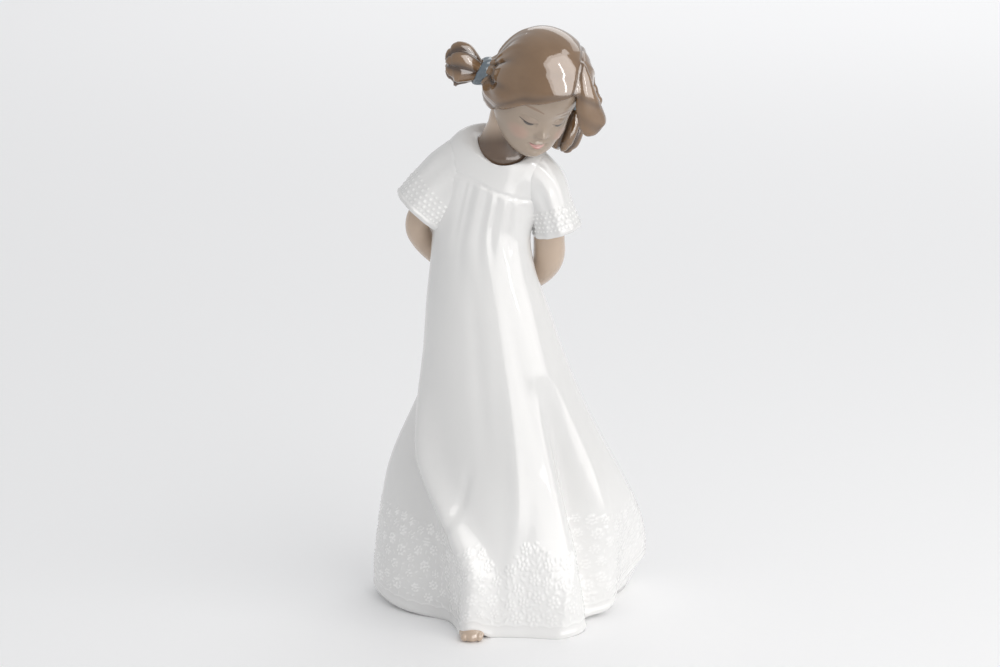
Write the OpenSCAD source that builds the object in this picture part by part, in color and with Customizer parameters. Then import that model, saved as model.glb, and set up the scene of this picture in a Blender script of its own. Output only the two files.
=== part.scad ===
// Standing child in a long lace-edged gown: a slip-cast porcelain figurine.
// Every piece is cast or pressed by itself and joined to its neighbours with slip before firing.
// Axes: X to the viewer's right, Y away from the viewer, Z up. Millimetres.

/* [Figure] */
// Height of the whole figure
figure_h = 275; // [200:5:330]
// Thickness of the cast wall
wall = 3; // [2:0.5:4]

/* [Underside] */
// Thickness of the slab that closes the bottom
base_t = 4; // [3:0.5:6]
// Radius of the vent hole in that slab
vent_r = 4; // [2.5:0.5:6]
// Height of the unglazed foot ring under the slab
foot_ring_h = 0.8; // [0.4:0.1:1.5]

/* [Hidden] */

design_h = 275;
size = figure_h / design_h;
// Lengths that stay as set whatever the height of the figure
skin_wall = wall / size;
slab_t = base_t / size;
vent = vent_r / size;
ring_h = foot_ring_h / size;

gown_white = [0.93, 0.94, 0.95];
skin = [0.84, 0.75, 0.68];
hair_brown = [0.58, 0.46, 0.35];
tie_blue = [0.45, 0.52, 0.60];
bisque = [0.90, 0.88, 0.84];

// ---------- curves and skins ----------

// Value of column c of a table of rows, smoothly between the rows; the first column is the key.
function slope(rows, i, c) = i == 0 ? (rows[1][c] - rows[0][c]) / (rows[1][0] - rows[0][0])
    : i == len(rows) - 1 ? (rows[i][c] - rows[i - 1][c]) / (rows[i][0] - rows[i - 1][0])
    : (rows[i + 1][c] - rows[i - 1][c]) / (rows[i + 1][0] - rows[i - 1][0]);
function span_of(rows, k, i = 0) = i >= len(rows) - 2 || k < rows[i + 1][0] ? i : span_of(rows, k, i + 1);
function hermite(p, m, q, n, t) = (2 * t ^ 3 - 3 * t ^ 2 + 1) * p + (t ^ 3 - 2 * t ^ 2 + t) * m
    + (3 * t ^ 2 - 2 * t ^ 3) * q + (t ^ 3 - t ^ 2) * n;
function smooth_at(rows, key, c) =
    let (k = max(rows[0][0], min(rows[len(rows) - 1][0], key)), i = span_of(rows, k),
        h = rows[i + 1][0] - rows[i][0], t = (k - rows[i][0]) / h)
    hermite(rows[i][c], slope(rows, i, c) * h, rows[i + 1][c], slope(rows, i + 1, c) * h, t);
function row_at(rows, key) = [for (c = [1:len(rows[0]) - 1]) smooth_at(rows, key, c)];

// Turns a point by roll about Y, then by pitch about X.
function rolled(p, a) = [p[0] * cos(a) + p[2] * sin(a), p[1], p[2] * cos(a) - p[0] * sin(a)];
function pitched(p, a) = [p[0], p[1] * cos(a) - p[2] * sin(a), p[1] * sin(a) + p[2] * cos(a)];
function yawed(p, a) = [p[0] * cos(a) - p[1] * sin(a), p[0] * sin(a) + p[1] * cos(a), p[2]];

function middle(ring) = [for (k = [0:2]) sum([for (p = ring) p[k]]) / len(ring)];
function sum(v, i = 0) = i == len(v) ? 0 : v[i] + sum(v, i + 1);

// Walls between rings of n points; the rings run round counter-clockwise seen from the last one.
function wall_faces(rings, n) = [for (j = [0:rings - 2]) for (i = [0:n - 1])
    let (a = j * n + i, b = j * n + (i + 1) % n, c = b + n, d = a + n) each [[a, c, b], [a, d, c]]];

// A closed solid over a stack of rings, with a rounded-off centre point at each end.
module stack_skin(rings) {
    n = len(rings[0]);
    m = len(rings);
    points = concat([for (r = rings) each r], [middle(rings[0]), middle(rings[m - 1])]);
    low = [for (i = [0:n - 1]) [m * n, i, (i + 1) % n]];
    high = [for (i = [0:n - 1]) [m * n + 1, (m - 1) * n + (i + 1) % n, (m - 1) * n + i]];
    polyhedron(points, concat(low, wall_faces(m, n), high));
}

// A wall open at both ends: the rings go down one side of the wall and back up the other.
module loop_skin(rings) {
    n = len(rings[0]);
    m = len(rings);
    closing = [for (i = [0:n - 1]) let (a = (m - 1) * n + i, b = (m - 1) * n + (i + 1) % n,
        c = (i + 1) % n, d = i) each [[a, c, b], [a, d, c]]];
    polyhedron([for (r = rings) each r], concat(wall_faces(m, n), closing));
}

// A piece trimmed to the pieces that it is joined to, as one closed skin.
module trimmed() resize([0, 0, 0]) difference() {
    children(0);
    children([1:$children - 1]);
}

// Drawn at the design height; everything is brought to size here.
module sized() scale(size) children();

// ---------- gown ----------

// Rows of the body of the gown from hem to collar:
// station, height, centre x, centre y, half width, half depth, roll, pitch
body_rows = [
    [0, 0, 1, 3, 60, 42, 0, 0],
    [12, 12, 1, 3, 60, 42, 0, 0],
    [35, 35, 0, 3, 55.5, 40, 0, 0],
    [60, 60, -2, 3, 48.5, 36, 0, 0],
    [80, 80, -4.5, 3, 42, 32, 0, 0],
    [100, 100, -7, 2.5, 36.5, 28, 0, 0],
    [125, 125, -10, 1.5, 31.5, 24.5, 0, 0],
    [150, 150, -12.5, 1, 27.2, 21, 0, 0],
    [165, 165, -14, 1.5, 24, 18.3, 2, 0],
    [180, 180, -14.3, 2, 22.3, 16, 5, 1],
    [193, 193, -12, 2.5, 22.3, 15.3, 8, 4],
    [204, 203.5, -9.5, 2.8, 22.3, 15, 11, 11],
    [213, 212.7, -7.3, 2.8, 22.3, 14.4, 13, 17],
    [220, 219.4, -6, 2.6, 20.8, 14, 13, 22],
    [225, 222, -5.2, 2.5, 18.3, 13.6, 13, 24],
    [229, 222.2, -4.6, 2.3, 15, 12.9, 12, 25],
    [232, 220.4, -4, 2, 12, 12.2, 11, 25]];

// Folds: rows of station, direction in degrees, height, angular width.
folds = [
    // edge of the front panel, running down to the toe
    [[0, 243, 7, 9], [15, 245, 7, 9], [30, 245, 6.5, 9], [48, 234, 6, 9], [62, 222, 5.5, 9],
        [72, 212, 5, 10], [82, 204, 4.5, 11], [100, 196, 3, 13], [125, 186, 0, 16]],
    // hollow behind that edge
    [[0, 211, -14, 21], [25, 209, -12, 19], [48, 204, -10, 17], [66, 195, -8, 14], [80, 184, -6, 12],
        [105, 176, -2, 11], [122, 174, 0, 12]],
    // flare at the back on the left
    [[0, 158, 13, 19], [30, 158, 14, 19], [60, 159, 14.5, 18], [75, 159, 12.5, 17], [90, 160, 8, 16],
        [105, 161, 3, 16], [118, 161, 0, 16]],
    // flare on the right
    [[0, 31, 18, 15], [20, 30, 18, 15], [45, 24, 13, 17], [75, 16, 7, 18], [110, 8, 3, 20],
        [150, 0, 0, 20]],
    // flat front side of that flare
    [[0, -6, -12, 20], [20, -6, -9, 20], [45, -8, -3, 20], [75, -10, 0, 20]],
    // hollow between the front panel and the right flare
    [[0, -33, -11, 11], [30, -33, -13, 12], [60, -34, -11, 12], [90, -36, -5, 12], [118, -40, 0, 12]],
    // front right corner of the hem
    [[0, -64, 4, 14], [20, -64, 3, 14], [45, -64, 0, 14]],
    // soft folds down the back
    [[0, 62, 3.5, 13], [60, 64, 3, 14], [120, 70, 1, 14], [145, 74, 0, 14]],
    [[0, 80, -5, 10], [60, 82, -3, 11], [120, 84, -1, 12], [145, 86, 0, 12]],
    [[0, 99, 3.5, 12], [60, 98, 3.5, 13], [120, 96, 1, 14], [145, 95, 0, 14]],
    [[0, 118, -5, 10], [60, 116, -3, 11], [120, 112, -1, 12], [145, 108, 0, 12]],
    [[0, 136, 3, 11], [60, 134, 3, 12], [120, 128, 1, 12], [145, 124, 0, 12]]];

// Lift of the hem off the ground: direction, height.
hem_rows = [[-180, 3], [-165, 1], [-150, 0], [-124, 0], [-114, 4], [-104, 0], [-60, 0], [-35, 1],
    [-18, 4], [0, 9], [20, 14], [35, 15], [50, 11], [75, 3], [100, 0], [130, 1], [160, 5], [180, 3]];

gown_turns = 72;
gown_stations = [0, 4, 11, 20, 29, 38, 47, 56, 65, 74, 84, 95, 107, 120, 134, 149, 163, 175, 186, 196,
    205, 212, 217.5, 221.5, 225, 228, 230, 232];
seat_depth = 4; // how far under the edge of the collar the neck is seated
collar_station = 232;
collar_wall = 1.6;
lining_stations = [217.5, 205, 180, 145, 110, 80, 55, 32, 12];
hem_fade = 60;
middle_x = 1;
middle_y = 3;

function turn_gap(a, b) = let (d = (a - b + 540) % 360) d - 180;
function fold_at(f, a, k) = let (r = row_at(f, k)) r[1] * exp(-(turn_gap(a, r[0]) / r[2]) ^ 2);
function hem_lift(a, k) = k >= hem_fade ? 0
    : max(0, smooth_at(hem_rows, turn_gap(a, 0), 1)) * (1 - k / hem_fade) ^ 1.5;
// Direction of column i at station k: the columns lean with the edge of the front panel.
lean_width = 75;
function column(i, k) = let (a = i * 360 / gown_turns, start = folds[0][0][1])
    a + (row_at(folds[0], k)[0] - start) * exp(-(turn_gap(a, start) / lean_width) ^ 2);
function gown_ring(k, inset = 0) =
    let (b = row_at(body_rows, k))
    [for (i = [0:gown_turns - 1])
        let (a = column(i, k), rx = b[3] - inset, ry = b[4] - inset,
            r = 1 / sqrt((cos(a) / rx) ^ 2 + (sin(a) / ry) ^ 2) + sum([for (f = folds) fold_at(f, a, k)]),
            p = rolled(pitched([r * cos(a), r * sin(a), 0], b[6]), b[5]))
        [b[1] + p[0], b[2] + p[1], b[0] + p[2] + hem_lift(a, k)]];

function collar_ring() = gown_ring(collar_station, collar_wall);
function up_at(k) = let (b = row_at(body_rows, k)) rolled(pitched([0, 0, 1], b[6]), b[5]);
function sunk(ring) = [for (p = ring) p - seat_depth * up_at(collar_station)];

// The outline of the hem drawn in towards the middle, level at height z.
foot_share = 0.86;
seat_share = 0.74;
ledge_share = 0.7;
ledge_h = 2;
function drawn_in(share, z) = [for (p = gown_ring(0))
    [middle_x + (p[0] - middle_x) * share, middle_y + (p[1] - middle_y) * share, z]];
function flat(ring) = [for (p = ring) [p[0], p[1]]];

module gown_skin() loop_skin(concat(
    [for (k = gown_stations) gown_ring(k)],
    [collar_ring(), sunk(collar_ring())],
    [for (k = lining_stations) gown_ring(k, skin_wall)],
    [drawn_in(ledge_share, slab_t + ledge_h), drawn_in(ledge_share, slab_t), drawn_in(seat_share, slab_t),
        drawn_in(seat_share, 0), drawn_in(foot_share, 0)]));
module gown() sized() color(gown_white) gown_skin();

// The gown filled in, to seat its neighbours against.
module gown_form() stack_skin(concat([drawn_in(foot_share, 0)], [for (k = gown_stations) gown_ring(k)]));

// ---------- slab that closes the bottom ----------

rim_share = 0.62;
slack = 1; // overshoot of a cut past the face it opens
module base_plate() sized() color(bisque) difference() {
    linear_extrude(slab_t) polygon(flat(drawn_in(seat_share, 0)));
    translate([0, 0, -slack]) linear_extrude(slack + ring_h) polygon(flat(drawn_in(rim_share, 0)));
    translate([0, 0, -slack]) cylinder(r = vent, h = slab_t + 2 * slack, $fn = 64);
}

// ---------- bare toes under the front corner of the hem ----------

toes_at = [-18.9, -38.6, 2.2];
toes_size = [5.6, 7.4, 3.4];
toe_size = [1.6, 2.2, 1.9];
toe_pitch = 3.2;
toe_reach = 5.6;
ground_block = [60, 60, 20];
module toe_cap() sized() color(skin) trimmed() {
    union() {
        translate(toes_at) scale(toes_size) sphere(1, $fn = 24);
        for (i = [-1:1]) translate(toes_at + [toe_pitch * i, 0.7 * abs(i) - toe_reach, -0.1])
            scale(toe_size) sphere(1, $fn = 12);
    }
    gown_form();
    translate([toes_at[0], toes_at[1], -ground_block[2] / 2]) cube(ground_block, center = true);
}

// ---------- sleeves and arms ----------

// An oval ring of n points round centre c, square to direction u: half breadth a, half thickness b
// measured towards side; lobes swell and sink its edge by the given share.
function unit(v) = v / norm(v);
function oval(c, u, side, a, b, n, lobes = 0, depth = 0) =
    let (w = unit(side - (side * u) * u), e = cross(w, u))
    [for (i = [0:n - 1]) let (t = i * 360 / n, s = 1 + depth * cos(lobes * t))
        c + a * s * cos(t) * e + b * s * sin(t) * w];

// Rows along a limb or a lock of hair: station, x, y, z, half breadth, half thickness, depth of its lobes
function along(rows, k) = let (r = row_at(rows, k)) [r[0], r[1], r[2]];
function heading(rows, k) = let (last = rows[len(rows) - 1][0])
    unit(along(rows, min(last, k + 0.1)) - along(rows, max(0, k - 0.1)));
function lock_ring(rows, k, side, n, lobes = 0, inset = 0) = let (r = row_at(rows, k))
    oval(along(rows, k), heading(rows, k), side, r[3] - inset, r[4] - inset, n, lobes, r[5]);
module lock(rows, side, n, step, lobes = 0)
    stack_skin([for (k = [0:step:rows[len(rows) - 1][0] + 0.01]) lock_ring(rows, k, side, n, lobes)]);

right_sleeve_rows = [
    [0, -13, 2, 212, 11, 9.5, 0],
    [1, -24, 2, 207.8, 14.6, 11.6, 0],
    [2, -34.6, 2.5, 199.6, 13.4, 12.2, 0],
    [3, -43, 3, 190.6, 12.6, 12.4, 0]];
left_sleeve_rows = [
    [0, 5, 3, 208.5, 10, 9, 0],
    [1, 12.5, 3, 203.5, 11, 11, 0],
    [2, 17.2, 3.5, 192.5, 9.8, 11.5, 0],
    [3, 20.2, 4, 181.4, 11, 11.8, 0]];
right_arm_rows = [
    [0, -31, 3.5, 204, 5.6, 5.6, 0],
    [1, -38.5, 5, 194, 5.9, 5.9, 0],
    [2, -43.2, 8, 184, 6, 6, 0],
    [3, -41.2, 12.5, 175.5, 5.8, 5.8, 0],
    [4, -33.5, 19, 166, 5.4, 5.4, 0],
    [5, -23.5, 25.5, 157.5, 4.3, 4.3, 0]];
left_arm_rows = [
    [0, 13.5, 4.5, 200, 6, 6, 0],
    [1, 16, 5, 190, 6.4, 6.4, 0],
    [2, 17.2, 7.5, 177, 6.8, 6.8, 0],
    [3, 16.4, 12.8, 165, 6.6, 6.6, 0],
    [4, 9, 20.6, 155.2, 5.6, 5.6, 0],
    [5, 0, 26.5, 150.5, 4.3, 4.3, 0]];
across = [0, 1, 0];
sideways = [1, 0, 0];
sleeve_turns = 26;
arm_turns = 20;
mouth_from = 2; // station where the hollow of a sleeve begins
sleeve_edge = 1.8;

module sleeve_mouth(rows) {
    beyond = 2 * heading(rows, 3);
    stack_skin(concat(
        [lock_ring(rows, mouth_from, across, sleeve_turns, 0, 3 * sleeve_edge)],
        [for (k = [mouth_from:0.5:3]) lock_ring(rows, k, across, sleeve_turns, 0, sleeve_edge)],
        [[for (p = lock_ring(rows, 3, across, sleeve_turns, 0, sleeve_edge)) p + beyond]]));
}
module arm_form(rows) lock(rows, sideways, arm_turns, 0.5);
module sleeve(rows, arm) trimmed() {
    lock(rows, across, sleeve_turns, 0.375);
    gown_form();
    sleeve_mouth(rows);
    arm_form(arm);
}
module arm(rows) trimmed() {
    arm_form(rows);
    gown_form();
}
module right_sleeve() sized() color(gown_white) sleeve(right_sleeve_rows, right_arm_rows);
module left_sleeve() sized() color(gown_white) sleeve(left_sleeve_rows, left_arm_rows);
module right_arm() sized() color(skin) arm(right_arm_rows);
module left_arm() sized() color(skin) arm(left_arm_rows);

// ---------- hands clasped behind the back ----------

// A chain of rounded lengths through points, each with its radius.
module digit(points, radii) for (i = [0:len(points) - 2]) hull() {
    translate(points[i]) sphere(radii[i], $fn = 8);
    translate(points[i + 1]) sphere(radii[i + 1], $fn = 8);
}
palm_l = 8.5;
palm_w = 8;
wrist_r = 3.9;
knuckle_r = 1.8;
finger_r = 1.35;
finger_l = 3.6;
// A hand from the wrist at the origin along +X, its back towards +Z; its fingers bend down by curl.
module hand_form(curl) {
    hull() {
        scale([0.7, 1, 1]) sphere(wrist_r, $fn = 12);
        for (s = [-1, 1]) translate([palm_l, s * (palm_w / 2 - knuckle_r), 0]) sphere(knuckle_r, $fn = 8);
    }
    for (i = [0:3]) {
        y = (i - 1.5) * palm_w / 4;
        l = finger_l - 0.5 * abs(i - 1.3);
        digit([[palm_l, y, 0], [palm_l + l, y, -l * sin(curl / 2)], [palm_l + 1.8 * l, y, -2.2 * l * sin(curl)]],
            [finger_r + 0.1, finger_r, finger_r - 0.2]);
    }
    digit([[2, palm_w / 2 - 1, -0.8], [5, palm_w / 2 + 2, -1.8], [8, palm_w / 2 + 2.2, -2.4]], [1.9, 1.6, 1.3]);
}
right_wrist = [-23, 26, 157];
left_wrist = [-0.5, 26.8, 150.2];
module right_hand_form() translate(right_wrist) rotate([0, 35, 0]) rotate([-72, 0, 0]) rotate([0, -12, 0])
    hand_form(25);
module left_hand_form() translate(left_wrist) rotate([0, 22, 0]) rotate([0, 0, 180]) rotate([98, 0, 0])
    rotate([0, 6, 0]) hand_form(12);
module right_hand() sized() color(skin) trimmed() {
    right_hand_form();
    left_hand_form();
    gown_form();
    arm_form(right_arm_rows);
    arm_form(left_arm_rows);
}
module left_hand() sized() color(skin) trimmed() {
    left_hand_form();
    gown_form();
    arm_form(left_arm_rows);
}

// ---------- neck and head ----------

head_at = [11, -10, 250];
head_roll = 20;
head_pitch = 30;
head_yaw = 25;
module in_head_frame() translate(head_at) rotate([0, head_roll, 0]) rotate([head_pitch, 0, 0])
    rotate([0, 0, head_yaw]) children();

// Rows up the neck, in the form of the rows of the gown; it rises out of the collar
neck_rows = [
    [0, 220.4, -4, 2, 10.4, 10.6, 11, 25],
    [1, 222.2, -3.8, 1.4, 10, 10.2, 12, 24],
    [2, 225.6, -3.5, 0.6, 9.4, 9.6, 13, 22],
    [3, 229.6, -3, 0, 8.8, 9, 16, 18],
    [4, 234.5, -2, -0.8, 8.6, 8.8, 20, 14],
    [5, 240.5, 0.6, -1.2, 8.8, 9, 22, 12]];
neck_vent_r = 2.4;
function neck_ring(k, r = 0) = let (b = row_at(neck_rows, k))
    [for (i = [0:gown_turns - 1])
        let (a = column(i, collar_station), rx = r > 0 ? r : b[3], ry = r > 0 ? r : b[4],
            p = rolled(pitched([rx * cos(a), ry * sin(a), 0], b[6]), b[5]))
        [b[1] + p[0], b[2] + p[1], b[0] + p[2]]];
module neck_form() stack_skin(concat([collar_ring()], [for (k = [1:5]) neck_ring(k)]));
// The neck is seated in the collar, with an air passage up its middle.
module neck() sized() color(skin) loop_skin(concat(
    [sunk(collar_ring()), collar_ring()],
    [for (k = [1:5]) neck_ring(k)],
    [for (k = [5, 3, 0]) neck_ring(k, neck_vent_r)],
    [sunk(neck_ring(0, neck_vent_r))]));

// Rows up the head in its own frame: station, centre x, centre y, half width, half depth
head_rows = [
    [-27.5, 0, -13.6, 3.8, 3],
    [-26, 0, -12.2, 7.6, 6.4],
    [-22.5, 0, -7, 12.6, 13.2],
    [-16, 0, -1.2, 16.4, 18.6],
    [-8, 0, 0.8, 17.6, 20.6],
    [0, 0.5, 1.4, 18.4, 21],
    [7, 1.6, 1.8, 17.6, 20.8],
    [12.6, 2.4, 2.4, 15.2, 18.4],
    [17, 2.4, 3, 11, 13.4],
    [19.3, 2.4, 3.4, 5.6, 6.8],
    [20, 2.4, 3.4, 1.5, 1.8]];
head_heights = [-27.5, -25.5, -22, -17, -11, -4, 3, 9, 13.5, 16.5, 18.8, 20];
hollow_heights = [-18, -11, -4, 4, 10.5, 15.5];
head_turns = 28;
nose_at = [0, -20, -10.8];
nose_size = [2, 2.4, 2.2];
function skull_ring(rows, z, n, inset = 0, lobes = 0, depth = 0) = let (r = row_at(rows, z))
    [for (i = [0:n - 1]) let (t = i * 360 / n, s = 1 + depth * cos(lobes * t))
        [r[0] + (r[2] - inset) * s * cos(t), r[1] + (r[3] - inset) * s * sin(t), z]];
module head_form() in_head_frame() {
    stack_skin([for (z = head_heights) skull_ring(head_rows, z, head_turns)]);
    translate(nose_at) scale(nose_size) sphere(1, $fn = 12);
}
module head() sized() color(skin) trimmed() {
    head_form();
    in_head_frame() stack_skin([for (z = hollow_heights) skull_ring(head_rows, z, head_turns, skin_wall)]);
    neck_form();
}

// ---------- hair ----------

// Rows up the hair in the frame of the head, as above
hair_rows = [
    [-21, 0, 3.4, 14, 16.4],
    [-13, 0, 2.8, 19.2, 21],
    [-4, 0.8, 2.4, 21.2, 23],
    [4, 2, 2.2, 21.6, 23.8],
    [11, 3, 2.4, 20.2, 22.6],
    [16.2, 3.2, 2.8, 16.8, 18.8],
    [20, 3, 3.4, 11.4, 12.8],
    [22.1, 2.4, 4, 6, 6.8],
    [22.9, 2.2, 4.4, 1.6, 1.8]];
hair_heights = [-21, -14, -6, 1, 7, 11.5, 15, 18, 20.5, 22.2, 22.9];
hair_turns = 48;
hair_strands = 12;
strand_depth = 0.007;
// Side outline of the opening that leaves the face and the neck free: y, z
opening = [[-40, 8.5], [-22, 8.5], [-13, 2], [-5, -9], [3, -14], [24, -19], [40, -20], [40, -60], [-40, -60]];
opening_roll = -12;
module hair_form() in_head_frame() difference() {
    stack_skin([for (z = hair_heights) skull_ring(hair_rows, z, hair_turns, 0, hair_strands, strand_depth)]);
    rotate([0, opening_roll, 0]) rotate([90, 0, 90]) linear_extrude(120, center = true) polygon(opening);
}
module hair_cap() sized() color(hair_brown) trimmed() {
    hair_form();
    head_form();
    neck_form();
}

// Locks of hair: rows of station, x, y, z, half breadth, half thickness, depth of the lobes.
fringe_rows = [
    [0, -19.3, 6, -6, 3.5, 2.2, 0.05],
    [1, -19.8, -1.5, -3.5, 7.2, 2.8, 0.05],
    [2, -18, -9, 1.2, 7.6, 3.2, 0.05],
    [3, -13.6, -14.8, 5.8, 6.6, 3, 0.05],
    [4, -6.5, -18.8, 9.4, 6, 2.8, 0.05],
    [5, 1, -19.6, 12, 5.4, 2.6, 0.05],
    [6, 8, -17.6, 14.2, 4.6, 2.2, 0.05],
    [7, 13.2, -13.6, 16, 2.4, 1.4, 0.05]];
side_rows = [
    [0, 27, -18, 266, 1.6, 1.4, 0.04],
    [1, 29.6, -20.4, 258.5, 3, 2.4, 0.04],
    [2, 31.2, -21.6, 250, 4.4, 3, 0.04],
    [3, 32.4, -20.6, 242.5, 5.9, 3.4, 0.04],
    [4, 34.3, -18, 236, 6.8, 3.5, 0.05],
    [5, 36.2, -16.6, 231.6, 6, 3, 0.06],
    [6, 37.2, -16.2, 229.7, 3, 1.6, 0.06]];
back_rows = [
    [0, 30, -3, 262.5, 1.4, 1.4, 0],
    [1, 32.6, -4, 256, 3, 2.4, 0],
    [2, 34.6, -5.4, 249, 3.2, 2.6, 0],
    [3, 36.6, -7, 242.6, 2.8, 2.2, 0],
    [4, 38, -8, 238, 1.2, 1, 0]];
fringe_lobes = 6;
lock_turns = 24;
module fringe_form() in_head_frame() lock(fringe_rows, [-0.5, -0.7, 0.5], lock_turns, 0.5, fringe_lobes);
module swept_fringe() sized() color(hair_brown) trimmed() {
    fringe_form();
    hair_form();
    head_form();
}
module side_form() lock(side_rows, [0.45, -0.85, 0.1], lock_turns, 0.5, fringe_lobes);
module side_lock() sized() color(hair_brown) trimmed() {
    side_form();
    hair_form();
    head_form();
    fringe_form();
}
module back_form() lock(back_rows, [0.9, -0.4, 0], arm_turns, 0.5);
module back_lock() sized() color(hair_brown) trimmed() {
    back_form();
    hair_form();
    head_form();
    side_form();
}

right_tail_rows = [
    [0, -7, -1.5, 254, 5.5, 5.5, 0],
    [1, -12, -1.8, 254.6, 4.5, 4.5, 0],
    [2, -15.4, -2, 255.2, 4.9, 4.9, 0.02],
    [3, -19, -2.2, 256.4, 7, 6.4, 0.05],
    [4, -23.2, -2.6, 257.6, 8.4, 7.2, 0.09],
    [5, -26.4, -2.8, 257.8, 6.8, 5.8, 0.12],
    [6, -27.8, -2.9, 257.8, 3.4, 2.8, 0.12]];
left_tail_rows = [
    [0, 26, 3, 247, 5.5, 5.5, 0],
    [1, 28.4, 5.6, 241.6, 4.6, 4.6, 0],
    [2, 28.4, 6.2, 238.6, 4.9, 4.9, 0.02],
    [3, 27, 6.2, 234, 6.6, 6, 0.05],
    [4, 24.6, 5.4, 227.6, 7.6, 7, 0.09],
    [5, 22.2, 4.6, 221.6, 6.4, 6, 0.12],
    [6, 21.4, 4.3, 219.6, 3, 2.8, 0.12]];
tail_turns = 28;
tail_lobes = 7;
upward = [0, 0, 1];
module tail_form(rows, side) lock(rows, side, tail_turns, 0.5, tail_lobes);
module ponytail(rows, side) trimmed() {
    tail_form(rows, side);
    hair_form();
    head_form();
}
module right_ponytail() sized() color(hair_brown) ponytail(right_tail_rows, across);
module left_ponytail() sized() color(hair_brown) ponytail(left_tail_rows, sideways);

tie_station = 1.35;
tie_r = 4.9;
tie_t = 2.1;
tie_turns = 24;
// A soft band round a ponytail: an oval section swept round it.
module band(rows, side) trimmed() {
    c = along(rows, tie_station);
    u = heading(rows, tie_station);
    w = unit(side - (side * u) * u);
    e = cross(w, u);
    multmatrix([for (k = [0:2]) [e[k], w[k], u[k], c[k]]])
        rotate_extrude($fn = tie_turns) translate([tie_r, 0]) scale([0.62, 1]) circle(tie_t, $fn = 8);
    tail_form(rows, side);
    hair_form();
    head_form();
}
module right_hair_tie() sized() color(tie_blue) band(right_tail_rows, across);
module left_hair_tie() sized() color(tie_blue) band(left_tail_rows, sideways);

gown();
base_plate();
toe_cap();
right_sleeve();
left_sleeve();
right_arm();
left_arm();
right_hand();
left_hand();
neck();
head();
hair_cap();
swept_fringe();
side_lock();
back_lock();
right_ponytail();
left_ponytail();
right_hair_tie();
left_hair_tie();
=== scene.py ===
import bpy, bmesh, math
import numpy as np
from mathutils import Matrix, Vector
from mathutils.bvhtree import BVHTree


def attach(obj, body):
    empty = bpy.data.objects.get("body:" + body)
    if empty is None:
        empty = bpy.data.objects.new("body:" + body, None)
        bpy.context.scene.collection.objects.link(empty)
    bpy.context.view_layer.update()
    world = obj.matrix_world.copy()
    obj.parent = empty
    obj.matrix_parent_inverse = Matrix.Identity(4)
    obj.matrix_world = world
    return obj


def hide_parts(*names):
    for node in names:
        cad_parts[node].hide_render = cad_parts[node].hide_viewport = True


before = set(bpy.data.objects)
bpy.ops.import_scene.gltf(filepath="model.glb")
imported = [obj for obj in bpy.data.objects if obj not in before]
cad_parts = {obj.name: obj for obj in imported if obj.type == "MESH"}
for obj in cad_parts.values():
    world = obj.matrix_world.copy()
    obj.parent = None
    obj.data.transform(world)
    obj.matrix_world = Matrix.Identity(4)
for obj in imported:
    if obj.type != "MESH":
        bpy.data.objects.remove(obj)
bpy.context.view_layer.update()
mm = 0.001
pi = math.pi
scene = bpy.context.scene

camData = bpy.data.cameras.new("camera")
camData.lens = 85
camData.sensor_width = 36
camera = bpy.data.objects.new("camera", camData)
camera.location = (-0.006, -1.0462, 0.4138)
camera.rotation_euler = (math.radians(75), 0, 0)
scene.collection.objects.link(camera)
scene.camera = camera
scene.view_settings.view_transform = "Standard"

studio = {
    "worldColour": (0.985, 0.99, 1.0), "worldStrength": 0.68,
    "floorColour": (0.95, 0.95, 0.955),
    # name: (place, aims at, width, height, power, colour, seen only in the glaze)
    "lights": {
        "keySoftbox": ((0.66, -0.56, 0.62), (0.02, -0.02, 0.25), 1.0, 1.3, 4.7, (1.0, 0.985, 0.96), False),
        "keyWindow": ((0.61, -0.52, 0.59), (0.02, -0.02, 0.25), 1.2, 1.5, 16.5, (1.0, 0.97, 0.95), True),
        "keyTube": ((0.46, -0.40, 0.50), (0.02, -0.02, 0.25), 0.03, 0.6, 0.9, (1.0, 1.0, 1.0), True),
        "backdropSoftbox": ((0.9, 2.4, 1.7), (0.7, 2.0, 0.0), 3.0, 1.6, 16.0, (1.0, 1.0, 1.0), False),
    },
}

def aimedAt(place, target):
    return (Vector(target) - Vector(place)).to_track_quat("-Z", "Y").to_euler()

def makeStudio(s):
    world = bpy.data.worlds.new("studioWorld")
    world.use_nodes = True
    world.node_tree.nodes["Background"].inputs["Color"].default_value = (*s["worldColour"], 1)
    world.node_tree.nodes["Background"].inputs["Strength"].default_value = s["worldStrength"]
    scene.world = world
    for name, (place, target, w, h, power, colour, glossy) in s["lights"].items():
        data = bpy.data.lights.new(name, "AREA")
        data.shape = "RECTANGLE"
        data.size = w
        data.size_y = h
        data.energy = power
        data.color = colour
        light = bpy.data.objects.new(name, data)
        light.location = place
        light.rotation_euler = aimedAt(place, target)
        light.visible_diffuse = not glossy
        scene.collection.objects.link(light)

makeStudio(studio)

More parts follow.
